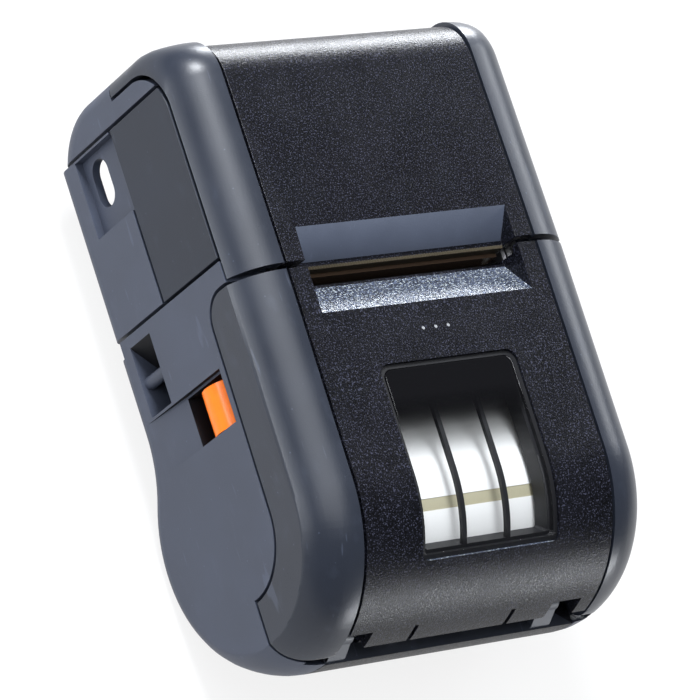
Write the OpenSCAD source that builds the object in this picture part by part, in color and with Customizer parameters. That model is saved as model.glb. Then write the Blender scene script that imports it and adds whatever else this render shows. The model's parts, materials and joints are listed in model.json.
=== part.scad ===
// Portable label printer, lying on its back: X across, Y towards the print end, Z out of the front.
// Origin at the middle of the overall box, on the surface that it lies on.

/* [Body] */
// Overall width across the side panels
body_w = 100; // [98:0.5:104]
// Overall length, rounded roll end to print end
body_l = 151; // [149:0.5:156]
// Rise of the front face from the roll end to the print end
front_rise = 1; // [0.6:0.1:1.8]
// Height of the flat back above the lowest point of the back
back_z = 9.6; // [8.6:0.2:10.6]
// Radius of the rounded roll end
end_r = 34.8; // [34.4:0.1:35.2]
// Radius where the flat back blends into the roll end
back_blend_r = 30; // [24:1:36]
// Wall of the moulded covers
wall = 2.6; // [2.2:0.1:3.0]
// Line where the upper front meets the cover, from the middle
part_y = 12.7; // [12:0.1:14]
// Shadow gap between upper front and cover
part_gap = 1.6; // [1.2:0.1:2]
// Shadow gap between side panels
seam = 0.9; // [0.6:0.1:1.2]

/* [Rails] */
// Width of the dark front panels
panel_w = 74.8; // [73:0.2:77]
// Height that the side rails drop from the front face to the side
rail_drop = 7.5; // [6.5:0.1:8.5]
// Corner radius between front face and print end
front_corner_r = 12; // [10:0.5:14]
// Corner radius between back and print end
back_corner_r = 18; // [16:0.5:20]
// Edge radius between side and print end
edge_r = 3.6; // [3:0.2:4.4]
// Edge radius between side and back
back_edge_r = 4; // [3:0.2:4.6]
// Width of the groove between a dark panel and the rails
groove_w = 0.8; // [0.5:0.1:1.2]
// Depth of that groove
groove_d = 1.2; // [0.8:0.1:1.6]
// Height that the rails stand proud of the dark panel at the print end
rail_proud = 1.2; // [0.8:0.1:1.6]
// Width of the rail band on the print end
end_band = 4.5; // [4:0.1:5.5]
// Depth of the lower edge of the print end rails below the front face
rail_foot_d = 29; // [26.6:0.2:31.6]

/* [Cover] */
// Depth of the cover's side wall below the front face
cover_depth = 17.7; // [17:0.1:18.4]
// Corner radius at the top of the cover's side
cover_corner_r = 7; // [6:0.5:8]
// Corner radius at the hinge end of the cover's side
cover_end_r = 5.2; // [5:0.1:5.6]
// Height of the cover's lower edge at the side above the roll axis
cover_foot = 0.6; // [0.2:0.1:1]
// Distance from the window to the sides of the dark panel
window_side = 17.1; // [15.4:0.1:19.4]
// Distance from the window to the upper edge of the cover
window_gap = 26.5; // [25.2:0.1:31]
// Angle of the window's lower edge round the roll end
window_angle = 54; // [50:0.5:58]
// Width of the dark rim round the window lens
rim_w = 1.2; // [0.8:0.1:1.6]
// Thickness of the window lens
lens_t = 1.6; // [1.2:0.1:2]
// Depth of the frame behind the window
frame_depth = 6.9; // [5:0.1:7.2]
// Radius of the cover hinge pin
hinge_pin_r = 1.25; // [1:0.05:1.4]
// Outer radius of the hinge barrels
barrel_r = 2.8; // [2.6:0.1:3]

/* [Paper path] */
// Distance from the V-shaped paper mouth to the sides of the dark panel
mouth_side = 6.1; // [5.4:0.1:7.4]
// Upper edge of the mouth above the parting line
mouth_up = 9.3; // [8:0.1:10]
// Lower edge of the mouth below the parting line
mouth_down = 12; // [10.5:0.1:12.6]
// Radius of the platen roller
platen_r = 4.8; // [4.5:0.1:5]
// Radius of the platen shaft
shaft_r = 2; // [1.6:0.1:2.4]
// Distance from the rubber on the platen to the sides of the dark panel
platen_side = 8.4; // [8:0.1:10.4]
// Depth of the platen axis below the front face
platen_depth = 14.5; // [14:0.1:15]
// Distance of the platen axis below the parting line
platen_back = 5.7; // [5.4:0.1:6]
// Radial clearance of shafts in their bores
running_fit = 0.05; // [0.02:0.01:0.1]

/* [Label roll] */
// Gap round the full label roll
roll_gap = 1.7; // [1.4:0.1:8]
// Gap between the labels and the walls of the roll bay
roll_side_gap = 1.7; // [1.4:0.1:5]
// Radius of the core's bore
core_r = 6.35; // [5:0.05:7]
// Wall of the core
core_wall = 1.6; // [1:0.1:2.4]
// Distance from the roll bay to the outside of the roll end
bay_depth = 6.6; // [5.8:0.1:7]
// Distance from the roll bay to the sides of the dark panel
bay_side = 7; // [6.4:0.1:7.2]

/* [Gears] */
// Gear module
gear_m = 0.5; // [0.45:0.01:0.55]
// Teeth on the platen gear
platen_teeth = 24; // [24]
// Teeth on the idler gear
idler_teeth = 40; // [40]
// Teeth on the motor pinion
pinion_teeth = 12; // [12]
// Face width of the gears
gear_w = 3.2; // [2.6:0.1:3.6]
// Direction from platen gear to idler gear
idler_angle = -30; // [-33:1:-28]
// Direction from idler gear to motor pinion
pinion_angle = -5; // [-8:1:-2]

/* [Side details] */
// Width of the back battery pack
battery_w = 64; // [60:0.5:64.4]
// Depth kept for the print works between the front face and the battery pack
works_d = 35.4; // [35:0.2:37]
// Distance from the parting line to the lower end of the battery pack
battery_gap = 6; // [5.3:0.1:6.7]
// Length of the end cap along the sides
cap_l = 10.5; // [9.5:0.2:11.5]
// Length of the strap eyelet
eyelet_l = 12.4; // [10:0.2:13]
// Width of the strap eyelet
eyelet_w = 7.2; // [6:0.2:8]
// Depth of the recess round the eyelet
eyelet_recess = 2.2; // [1.6:0.1:2.8]
// Radius of the power button
power_r = 4.5; // [3.5:0.1:5]
// Radius of the feed button
feed_r = 3.5; // [3:0.1:4.5]
// Radial clearance of a button in its hole
button_fit = 0.2; // [0.1:0.05:0.3]

/* [Hidden] */

grey = [0.36, 0.38, 0.44];
dark = [0.11, 0.11, 0.12];
steel = [0.72, 0.73, 0.75];
white = [0.95, 0.95, 0.95];

half_w = body_w / 2;
top_y = body_l / 2;
cap_y = top_y - cap_l;
front_z = 2 * end_r + front_rise;
rail_foot_z = front_z - rail_foot_d;
battery_t = front_z - back_z - works_d;
battery_y = part_y + battery_gap;
panel_x = panel_w / 2;
rail_w = half_w - panel_x;
rail_r = (rail_w * rail_w + rail_drop * rail_drop) / (2 * rail_drop);
end_y = end_r - body_l / 2;
end_z = end_r;
upper_y = part_y + part_gap / 2;
cover_y = part_y - part_gap / 2;
side_wall = wall - 0.2;
skin_x = half_w - side_wall;

// The cover's front is a plane through the parting line that just touches the roll end.
front_dy = part_y - end_y;
front_dz = front_z - end_z;
tilt = atan2(front_dz, front_dy) - asin(end_r / norm([front_dy, front_dz]));
cover_l = (cover_y - end_y) * cos(tilt) + front_dz * sin(tilt);
cover_foot_z = end_z + cover_foot;
window_w = panel_w - 2 * window_side;
window_top = cover_l - window_gap;

// Roll bay and paper path
mouth_w = panel_w - 2 * mouth_side;
platen_l = panel_w - 2 * platen_side;
bay_w = panel_w - 2 * bay_side;
bay_r = end_r - bay_depth;
bay_out_r = end_r - wall - 1.6;
roll_r = bay_r - roll_gap;
roll_w = bay_w - 2 * roll_side_gap;

// The blend between flat back and roll end
blend_z = back_z - back_blend_r;
blend_y = end_y + sqrt(pow(end_r + back_blend_r, 2) - pow(end_z - blend_z, 2));

// The hinge sits at the centre of the rounding at the end of the cover's side.
hinge_z = cover_foot_z + cover_end_r;
hinge_y = end_y - sqrt(pow(end_r - cover_end_r, 2) - pow(hinge_z - end_z, 2));
hinge_angle = atan2(hinge_z - end_z, end_y - hinge_y);
lip_angle = hinge_angle + 1.7;
notch_angle = hinge_angle + 11.3;
base_lip_angle = hinge_angle - 9.8;
base_knuckles = [[-panel_x + 0.6, -panel_x + 5.9], [panel_x - 13.2, panel_x - 7.4]];
cover_knuckles = [[-panel_x + 8, -panel_x + 19], [-5, 6], [panel_x - 25, panel_x - 14]];

// Platen and gears, in the section across the printer
platen_y = part_y - platen_back;
platen_z = front_z - platen_depth;
mesh_slack = 0.06;
idler_d = gear_m * (platen_teeth + idler_teeth) / 2 + mesh_slack;
idler_y = platen_y + idler_d * cos(idler_angle);
idler_z = platen_z + idler_d * sin(idler_angle);
pinion_d = gear_m * (idler_teeth + pinion_teeth) / 2 + mesh_slack;
pinion_y = idler_y + pinion_d * cos(pinion_angle);
pinion_z = idler_z + pinion_d * sin(pinion_angle);
gear_x = panel_x + rail_w / 8;
bracket_x = panel_x - 6.4;
bracket_t = 2;
idler_pin_r = 1.5;
motor_r = 8.5;
motor_shaft_r = 1;
head_y = platen_y + platen_r + 0.1;
head_t = 1.2;
sink_t = 5;
bar_y = head_y + head_t + sink_t + 4.2;
tear_t = 0.8;
cheek_z = back_z + battery_t + 0.5;
pocket_top = cheek_z + 7.1;
hook_y = part_y + 2.3;
hook_z = cheek_z + 8.2;
hook_r = 1.5;
hook_arm = 20.6;
flap_z = back_z + 8.3;
socket_x = panel_x + 2.6;
lever_y0 = part_y - 29.9;
lever_y1 = lever_y0 + 12;
lever_z0 = hook_z - 7.3;
lever_z1 = lever_z0 + 10.2;
lever_low = lever_z0 - 4.9;
lever_high = lever_z0 + 13.2;
scoop_d = 1.4;
thumb_t = 0.6 * rail_w;
crank_gap = 0.095 * rail_w;
crank_t = 0.175 * rail_w;

mouth_depth = 5.8;
lip_depth = 7.6;
lip_run = 8.8;
lip_u = cover_l - mouth_down;
gap_y = battery_y - 0.4;
seam_z = front_z - rail_drop + 0.5;
seam_y = top_y - end_band;
mid_top_z = seam_z - 0.6;

module along_x(x0, x1) {
    translate([x0, 0, 0]) rotate([90, 0, 90]) linear_extrude(x1 - x0) children();
}

module along_y(y0, y1) {
    translate([0, y1, 0]) rotate([90, 0, 0]) linear_extrude(y1 - y0) children();
}

// Turns a section, drawn as radius and X, about an axis along X; 180 points out of the front.
module turned(y, z, a0, a1) {
    translate([0, y, z]) rotate([0, 90, 0]) rotate([0, 0, a0])
        rotate_extrude(angle = a1 - a0, $fn = 128) children();
}

module box(a, b) {
    translate(a) cube(b - a);
}

module rod(x0, x1, y, z, r) {
    translate([x0, y, z]) rotate([0, 90, 0]) cylinder(h = x1 - x0, r = r, $fn = 48);
}

module both_sides() {
    children();
    mirror([1, 0, 0]) children();
}

// Places a child drawn in the cover's own frame: origin on the roll axis, Y along the front.
module cover_frame() {
    translate([0, end_y, end_z]) rotate([tilt, 0, 0]) children();
}

// Sweeps a section, drawn as X and depth below the surface, down the cover's front and round its end.
module cover_sweep(length, low_angle) {
    translate([0, length, 0]) rotate([90, 0, 0]) linear_extrude(length)
        translate([0, end_r]) mirror([0, 1]) children();
    turned(0, 0, 180, 270 - low_angle) translate([end_r, 0]) rotate(90) children();
}

// Points of an arc, from one angle to another.
function arc(y, z, r, a0, a1, steps) =
    [for (i = [0:steps]) let (a = a0 + (a1 - a0) * i / steps) [y + r * cos(a), z + r * sin(a)]];

// How far the surface has dropped at a distance x from the middle.
function rail_inset(x) = rail_r - sqrt(max(0, pow(rail_r, 2) - pow(max(0, x - panel_x), 2)));
function edge_inset(x, r) = r - sqrt(max(0, r * r - pow(max(0, x - half_w + r), 2)));

// Side view of the upper half, drawn in by its margins.
function upper_points(front, end, back, start) =
    let (z0 = back_z + back, z1 = front_z - front, y1 = top_y - end)
    let (rf = front_corner_r, rb = back_corner_r)
    concat(
        [[start, z1], [start, z0]], arc(y1 - rb, z0 + rb, rb, -90, 0, 14),
        arc(y1 - rf, z1 - rf, rf, 0, 90, 12)
    );

// Side view of the lower half, drawn in at the front and at the back.
function lower_points(front, back, over = 0) =
    let (shift = (front - back) / 2, y = end_y + shift, z = end_z - shift)
    let (r = end_r - (front + back) / 2, z0 = back_z + back, rb = back_blend_r + back)
    let (by = y + sqrt(pow(r + rb, 2) - pow(z - z0 + rb, 2)), bz = z0 - rb)
    let (a = atan2(z - bz, y - by))
    concat(
        [[gap_y + over, z0], [gap_y + over, mid_top_z + over], [cover_y - 2, mid_top_z + over]],
        arc(y, z, r, 90, a + 176, 46), arc(by, bz, rb, a, 90, 8)
    );

// Solid through rings of equal length at the given places along X, closed with fans.
module skin(xs, rings, middle) {
    n = len(rings[0]);
    m = len(rings);
    points = concat(
        [for (i = [0:m - 1]) for (p = rings[i]) [xs[i], p[0], p[1]]],
        [[xs[0], middle[0], middle[1]], [xs[m - 1], middle[0], middle[1]]]
    );
    sides = [for (i = [0:m - 2], j = [0:n - 1]) let (k = (j + 1) % n)
        each [[i * n + j, (i + 1) * n + j, i * n + k], [i * n + k, (i + 1) * n + j, (i + 1) * n + k]]];
    fans = [for (j = [0:n - 1]) let (k = (j + 1) % n)
        each [[m * n, j, k], [m * n + 1, (m - 1) * n + k, (m - 1) * n + j]]];
    polyhedron(points, concat(sides, fans));
}

function flank_places(x0, slices) =
    [for (i = [0:slices]) i == 0 ? x0 : panel_x + rail_w * sin(90 * i / slices)];

module upper_outline(front, end, back, start = upper_y) {
    polygon(upper_points(front, end, back, start));
}

// Rounded flank of the upper half, from the dark panel out to the side.
module upper_flank() {
    xs = flank_places(panel_x, 8);
    skin(xs, [for (x = xs) upper_points(
        rail_inset(x), edge_inset(x, edge_r), edge_inset(x, back_edge_r), upper_y
    )], [top_y - 20, end_z]);
}

// Rounded flank of the lower half, longer than needed on its inner side and its upper ends.
module lower_flank() {
    xs = concat([panel_x - 6], flank_places(panel_x, 8));
    skin(xs, [for (x = xs) lower_points(rail_inset(x), edge_inset(x, back_edge_r), 1)], [-20, end_z]);
}

// A point of the cover's tilted front: u along it, w out of it.
function tilted(u, w) =
    [end_y + u * cos(tilt) - w * sin(tilt), end_z + u * sin(tilt) + w * cos(tilt)];

// Room that the cover's side takes, grown by a gap.
module cover_side_zone(g) {
    low = end_r - cover_depth - g;
    foot = cover_foot_z - g;
    corner = cover_corner_r + g;
    turn_r = cover_end_r + g;
    rise = 2;
    polygon(concat(
        arc(hinge_y, hinge_z, turn_r, 180 + asin(rise / turn_r), 270, 6),
        arc(end_y, end_z, low, 180 - asin((foot - end_z) / low), 90 + tilt, 20),
        [for (p = arc(cover_l + g - corner, low + corner, corner, -90, 0, 8)) tilted(p[0], p[1])],
        [tilted(cover_l + g, end_r + 20), [hinge_y - 30, front_z + 20], [hinge_y - 30, hinge_z - rise]]
    ));
}

// What lies outside the rounding at the hinge end of the cover's side.
module cover_end_corner(g) {
    difference() {
        translate([hinge_y - 30, cover_foot_z - g - 1])
            square([30, cover_end_r + g + 1 + (g > 0 ? 12 : cover_end_r * sin(hinge_angle))]);
        translate([hinge_y, hinge_z]) circle(cover_end_r + g, $fn = 96);
    }
}

// Section of a cover rail, drawn as X and depth: rounded top, side wall, hollow inside.
module cover_rail_section() {
    difference() {
        intersection() {
            translate([panel_x, -1]) square([rail_w, cover_depth + 1]);
            union() {
                translate([panel_x, rail_r]) circle(rail_r, $fn = 128);
                translate([panel_x - 1, rail_drop]) square([rail_w + 2, cover_depth]);
            }
        }
        intersection() {
            translate([panel_x - 1, 0]) square([skin_x - panel_x + 1, cover_depth + 1]);
            union() {
                translate([panel_x, rail_r]) circle(rail_r - wall, $fn = 128);
                translate([panel_x - 2, wall + 4]) square([rail_w + 4, cover_depth]);
            }
        }
    }
}

// Involute gear outline with short teeth, one tooth centred on the X axis.
function involute(base, t) = base * [cos(t) + t * PI / 180 * sin(t), sin(t) - t * PI / 180 * cos(t)];
function turn(p, a) = [p[0] * cos(a) - p[1] * sin(a), p[0] * sin(a) + p[1] * cos(a)];

module gear_outline(teeth, slack = 0.06) {
    pitch = gear_m * teeth / 2;
    base = pitch * cos(20);
    tip = pitch + 0.8 * gear_m;
    root = pitch - 1.1 * gear_m;
    roll_pitch = sqrt(pow(pitch / base, 2) - 1) * 180 / PI;
    roll_tip = sqrt(pow(tip / base, 2) - 1) * 180 / PI;
    inv_pitch = roll_pitch - 20;
    half = 90 / teeth - slack / pitch * 180 / PI + inv_pitch;
    start = max(base, root);
    flank = [for (i = [0:3]) involute(base, roll_tip * i / 3)];
    low = root / start;
    rising = concat([turn(flank[0] * low, -half)], [for (p = flank) turn(p, -half)]);
    tooth = concat(rising, [for (i = [len(rising) - 1:-1:0]) [rising[i][0], -rising[i][1]]]);
    polygon([for (k = [0:teeth - 1]) for (p = tooth) turn(p, 360 * k / teeth)]);
}

// A spur gear on an axis along X, its bore open.
module spur(y, z, x0, teeth, bore, phase) {
    translate([x0, y, z]) rotate([90, 0, 90]) linear_extrude(gear_w) difference() {
        rotate(phase) gear_outline(teeth);
        circle(bore, $fn = 48);
    }
}

// Room behind the strap eyelet, open to the back, on the left side.
module eyelet_pocket() {
    y0 = cap_y - 18;
    inner = half_w - eyelet_recess - 2.2;
    translate([0, cap_y + 4.6, 0]) rotate([90, 0, 0]) linear_extrude(cap_y + 4.6 - y0) polygon([
        [-inner, back_z - 5], [-inner, back_z + 20.4], [-inner + 4, back_z + 20.4],
        [-battery_w / 2 - 1.4, back_z + 8], [-battery_w / 2 - 1.4, back_z - 5]
    ]);
}

module base_shell() {
    color(dark) difference() {
        union() {
            difference() {
                along_x(-panel_x + 0.1, panel_x - 0.1) polygon(lower_points(0, 0));
                // Room under the cover, down to the hinge
                along_x(-half_w, half_w) difference() {
                    translate([end_y - 60, end_z + end_r * sin(base_lip_angle)]) square([160, 80]);
                    translate([end_y, end_z]) circle(bay_out_r, $fn = 96);
                }
                along_x(-half_w, half_w) translate([end_y - 60, pocket_top]) square([160, 80]);
                along_x(-half_w, half_w) translate([end_y - 60, end_z + end_r * sin(base_lip_angle)])
                    square([60, 80]);
                for (k = cover_knuckles)
                    rod(k[0] - 0.4, k[1] + 0.4, hinge_y, hinge_z, barrel_r + 0.4);
                // Roll bay
                along_x(-bay_w / 2, bay_w / 2) union() {
                    translate([end_y, end_z]) circle(bay_r, $fn = 96);
                    translate([end_y - bay_r, end_z]) square([2 * bay_r, 60]);
                }
                // Finger groove across the back, next to the battery
                along_x(-half_w, half_w) translate([battery_y - 4.5, back_z - 1]) square([8, 4.5]);
            }
            // Bay walls beside the roll
            both_sides() along_x(bay_w / 2, panel_x - 0.1) intersection() {
                translate([end_y, end_z]) circle(bay_out_r, $fn = 96);
                translate([end_y - bay_r + 6, end_z]) square([2 * bay_r - 6, 60]);
            }
            for (k = base_knuckles) knuckle(k, end_r - 2.2, base_lip_angle - 2, 4.6, end_r - 0.6);
        }
        rod(-half_w, half_w, hinge_y, hinge_z, hinge_pin_r + 0.01);
        // Room for the latch shaft
        box([-half_w, hook_y - 5.4, hook_z - 3.4], [half_w, gap_y + 1, front_z]);
        // Slide of the battery latch
        box([-9.4, battery_y - 14.6, back_z - 1], [9.4, battery_y + 1, back_z + 5.2]);
        screw_places() rod_z(back_z - 5, back_z + 2.2, 2.6);
    }
}

module rod_z(z0, z1, r) {
    translate([0, 0, z0]) cylinder(h = z1 - z0, r = r, $fn = 40);
}

// Round ends of the hinge, from one place across to another, with a web towards a point of the shell.
module knuckle(ends, web_r, web_angle, web_t, surface_r) {
    web_y = end_y - web_r * cos(web_angle) - hinge_y;
    web_z = end_z + web_r * sin(web_angle) - hinge_z;
    intersection() {
        along_x(ends[0], ends[1]) union() {
            translate([hinge_y, hinge_z]) circle(barrel_r, $fn = 64);
            translate([hinge_y, hinge_z]) rotate(atan2(web_z, web_y)) translate([0, -web_t / 2])
                square([norm([web_y, web_z]), web_t]);
        }
        rod(ends[0] - 1, ends[1] + 1, end_y, end_z, surface_r);
    }
}

module hinge_pin() {
    color(steel) rod(base_knuckles[0][0] + 0.2, base_knuckles[1][1], hinge_y, hinge_z, hinge_pin_r);
}

// Flank of the lower body behind the cover, on the right side.
module side_cover_blank() {
    x0 = panel_x + 0.2;
    intersection() {
        lower_flank();
        difference() {
            box([x0, end_y - end_r - 1, -1], [half_w + 1, gap_y, mid_top_z]);
            along_x(x0 - 1, half_w + 1) cover_side_zone(seam);
            rod(x0 - 1, panel_x + 5.4, hinge_y, hinge_z, cover_end_r + seam + 0.9);
            along_x(x0 - 1, half_w + 1) translate([battery_y - 4.5, back_z - 1]) square([8, 4.5]);
            // Hollow round end, up to the lever's scoop
            along_x(x0 - 1, skin_x) intersection() {
                translate([end_y, end_z]) circle(bay_r + 0.6, $fn = 96);
                translate([end_y - 60, 0]) square([lever_y0 - end_y + 58.3, cover_foot_z - seam - 2.4]);
            }
            children();
        }
    }
}

// Corner piece that leaves a rounded edge when it is cut away.
module edge_corner(x, z, r) {
    difference() {
        translate([x - r, z - 1]) square([r + 1, r + 1]);
        translate([x - r, z + r]) circle(r, $fn = 64);
    }
}

module left_side_cover() {
    color(grey) mirror([1, 0, 0]) side_cover_blank() union() {
        // Finger scoop that slopes in towards the release lever
        along_y(lever_y0, lever_y1 + 1.6) polygon([
            [half_w + 1, back_z + 5], [half_w, back_z + 5], [half_w - scoop_d, lever_low],
            [half_w - scoop_d, lever_high], [half_w + 1, lever_high]
        ]);
        // Window for the lever, deep enough for its travel
        box([half_w - thumb_t - 0.4, lever_y0, lever_low], [half_w + 1, lever_y1 + 1, lever_high]);
        // Channel for the lever's arm
        box([panel_x - 1, lever_y0 + 1, lever_low], [half_w - thumb_t + 0.6, gap_y + 1, lever_high + 0.6]);
        // Strap hollow with a sloping head
        translate([0, 0, back_z + 7.3]) linear_extrude(9.8) polygon([
            [half_w + 1, -2.9], [half_w - 7, -2.9], [half_w - 7, 8.5], [half_w, 15.4],
            [half_w + 1, 15.4]
        ]);
    }
    // Strap bar across the hollow
    color(grey) translate([-half_w + 2.6, 5.9, back_z + 6.3]) cylinder(h = 11.8, r = 1.7, $fn = 40);
}

module right_side_cover() {
    color(grey) side_cover_blank() union() {
        // Room for the gears
        box([panel_x - 1, platen_y - 8, idler_z - 12.3], [skin_x, gap_y + 1, mid_top_z - 2]);
        // Socket bay and the recess of its flap
        box([half_w - 1.8, -9.2, back_z + 7.2], [half_w + 1, 14.2, back_z + 23.8]);
        box([panel_x + 2.4, -7.6, back_z + 8.8], [half_w - 1, 12.6, back_z + 22.2]);
    }
}

module top_cover() {
    color(dark) difference() {
        union() {
            along_x(-panel_x + groove_w, panel_x - groove_w) top_skin(0);
            along_x(-panel_x + 0.1, panel_x - 0.1) top_skin(groove_d);
        }
        mouth_upper(0);
    }
    // Skin of the sloping upper side of the mouth
    color(dark) intersection() {
        along_x(-panel_x + groove_w, panel_x - groove_w) upper_outline(0, rail_proud, 0);
        difference() {
            mouth_upper(-1.8, 1.8);
            mouth_upper(0);
        }
    }
}

// Section of the upper dark panel, its face drawn in by a depth.
module top_skin(depth) {
    difference() {
        upper_outline(depth, rail_proud + depth, 0);
        upper_outline(wall, rail_proud + wall, 0, upper_y - 1);
        translate([upper_y - 1, 0]) square([80, rail_foot_z]);
    }
}

// Upper half of the paper mouth, cut or grown.
module mouth_upper(drop, side = 0) {
    along_x(-mouth_w / 2 - side, mouth_w / 2 + side) polygon([
        [upper_y - 2, front_z + 1 + drop], [part_y + mouth_up - drop, front_z + 1 + drop],
        [part_y + mouth_up - drop, front_z],
        [part_y + mouth_up - 7.1 - drop, front_z - mouth_depth + drop],
        [upper_y - 2, front_z - mouth_depth + drop]
    ]);
}

module right_rail() {
    color(grey) difference() {
        upper_flank();
        rail_hollow(panel_x - 1, panel_x + 0.36 * rail_w, wall + 0.6);
        rail_hollow(panel_x + 0.3 * rail_w, panel_x + 0.61 * rail_w, wall + 2.2);
        rail_hollow(panel_x + 0.6 * rail_w, skin_x, wall + 4.4);
        along_x(skin_x - 1, half_w + 1) seam_outline(0);
        along_x(panel_x - 1, half_w + 1) translate([upper_y - 1, 0]) square([90, rail_foot_z]);
    }
}

// One step of the room inside a rail.
module rail_hollow(x0, x1, depth) {
    along_x(x0, x1) upper_outline(depth, wall, -20, upper_y - 1);
}

module left_rail() {
    mirror([1, 0, 0]) right_rail();
}

// Outline that parts the rail from the side panels.
module seam_outline(g) {
    y1 = seam_y - g;
    z1 = seam_z - g;
    r = front_corner_r;
    polygon([[upper_y - 1, 0], [y1, 0], [y1, z1 - r], [y1 - r, z1], [upper_y - 1, z1]]);
    translate([y1 - r, z1 - r]) circle(r, $fn = 64);
}

module end_cap() {
    color(grey) difference() {
        union() {
            both_sides() difference() {
                upper_flank();
                along_x(panel_x - 1, half_w + 1) difference() {
                    translate([0, rail_foot_z - 0.4]) square([90, 60]);
                    seam_outline(seam);
                }
            }
            along_x(-panel_x - 0.5, panel_x + 0.5) difference() {
                upper_outline(0, 0, 0);
                translate([0, rail_foot_z - 0.4]) square([90, 60]);
            }
        }
        box([-half_w - 1, 0, 0], [half_w + 1, cap_y + 0.45, front_z]);
        along_x(-skin_x + 1.6, skin_x - 1.6) upper_outline(0, wall + 2.4, wall, 0);
        box([-panel_x, 0, rail_foot_z - 3], [panel_x, top_y - wall - rail_proud - 0.2, front_z]);
        both_sides() eyelet_pocket();
    }
}

module right_side_panel() {
    color(grey) difference() {
        along_x(skin_x, half_w) intersection() {
            seam_outline(seam);
            translate([gap_y + seam, cheek_z + seam]) square([cap_y - 0.45 - gap_y - seam, 60]);
        }
        button_place(1) rod(skin_x - 1, half_w + 1, 0, 0, power_r + button_fit);
        button_place(-1) rod(skin_x - 1, half_w + 1, 0, 0, feed_r + button_fit);
    }
}

module left_side_panel() {
    color(grey) along_x(-half_w, -skin_x) intersection() {
        seam_outline(seam);
        translate([gap_y + seam, cheek_z + seam]) square([cap_y - 0.45 - gap_y - seam, 60]);
    }
}

module button_place(side) {
    translate([0, cap_y - 15.5 + side * 7.5, cheek_z + 14]) children();
}

module cheek_blank() {
    x0 = battery_w / 2 + 0.4;
    difference() {
        intersection() {
            along_y(gap_y + seam, cap_y - 0.45) difference() {
                translate([x0, back_z]) square([half_w - x0, cheek_z - back_z]);
                edge_corner(half_w, back_z, back_edge_r);
            }
            along_x(x0 - 1, half_w + 1) upper_outline(0, 0, 0, gap_y);
        }
        // Recess and eyelet for a strap
        box([half_w - eyelet_recess, cap_y - 21.2, back_z + 8.6], [half_w + 1, cap_y - 1, cheek_z + 1]);
        translate([half_w - 6, cap_y - 9, back_z + 14.8]) rotate([0, 90, 0]) eyelet_hole();
        mirror([1, 0, 0]) eyelet_pocket();
    }
}

module eyelet_hole() {
    r = eyelet_w / 2;
    for (s = [-1, 1]) translate([0, s * (eyelet_l / 2 - r), 0]) cylinder(h = 8, r = r, $fn = 48);
    translate([-r, -eyelet_l / 2 + r, 0]) cube([2 * r, eyelet_l - 2 * r, 8]);
}

module right_cheek() {
    color(grey) cheek_blank();
}

module left_cheek() {
    color(grey) mirror([1, 0, 0]) cheek_blank();
}

module battery_pack() {
    hw = battery_w / 2;
    y1 = cap_y + 0.1;
    color(dark) difference() {
        intersection() {
            along_y(battery_y, y1) difference() {
                translate([-hw, back_z]) square([2 * hw, battery_t]);
                for (s = [-1, 1]) translate([s * hw, back_z + battery_t]) rotate(45)
                    square(2.4, center = true);
            }
            along_x(-half_w, half_w) upper_outline(0, 0, 0, battery_y - 1);
        }
        // Pocket for the latch's nose
        box([-7, battery_y - 1, back_z + 1.6], [7, battery_y + 2.2, back_z + 5]);
        // Grip ribs for pulling the pack
        for (i = [0:4]) along_x(-14, 14) translate([battery_y + 4 + 2.2 * i, back_z]) circle(0.5, $fn = 24);
        // Contact pads
        for (i = [-2:2])
            box([3 * i - 0.9, y1 - 8, back_z + battery_t - 0.6], [3 * i + 0.9, y1 - 2, cheek_z + 1]);
    }
}

module battery_latch() {
    color(grey) difference() {
        union() {
            box([-9, battery_y - 11.7, back_z], [9, battery_y - 4.6, back_z + 4.6]);
            box([-6.6, battery_y - 4.7, back_z + 2], [6.6, battery_y + 1.4, back_z + 4.6]);
        }
        for (i = [0:2]) along_x(-6, 6) translate([battery_y - 10 + 1.8 * i, back_z]) circle(0.45, $fn = 24);
    }
}

module battery_contacts() {
    z0 = back_z + battery_t;
    color([0.85, 0.68, 0.3]) for (i = [-2:2])
        box([3 * i - 0.5, cap_y - 6, z0 - 0.5], [3 * i + 0.5, cap_y - 4.4, z0 + 2]);
}

module main_frame() {
    z0 = pocket_top - 1.8;
    color(steel) difference() {
        union() {
            box([-panel_x + 0.4, gap_y + 1, z0], [panel_x - 0.4, cap_y - 1, z0 + 1.8]);
            both_sides() along_x(panel_x - 2.8, panel_x - 0.8) polygon([
                [2, pocket_top + 0.1], [gap_y + 0.4, pocket_top + 0.1], [gap_y + 0.4, z0],
                [cap_y - 1, z0], [cap_y - 1, front_z - 10], [platen_y + 6, front_z - 7],
                [2, platen_z + 2]
            ]);
            box([-panel_x + 1, bar_y, z0 + 1], [panel_x - 1, bar_y + 1.6, front_z - 9]);
        }
        // Open seats for the platen's bushes
        both_sides() along_x(panel_x - 4, panel_x + 1) translate([platen_y, platen_z]) union() {
            circle(4, $fn = 64);
            translate([-4, 0]) square([8, 20]);
            translate([-14, -4]) square([14, 24]);
        }
        rod(-half_w, half_w, hook_y, hook_z, hook_r + running_fit);
        rod(panel_x - 4, panel_x + 3, idler_y, idler_z, idler_pin_r + 0.01);
        rod(panel_x - 4, panel_x, pinion_y, pinion_z, 3.1);
        rod(panel_x - 20, panel_x - 3, pinion_y, pinion_z, motor_r + 0.4);
    }
}

module idler_pin() {
    color(steel) rod(panel_x - 2.8, gear_x + gear_w + 0.6, idler_y, idler_z, idler_pin_r);
}

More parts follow.
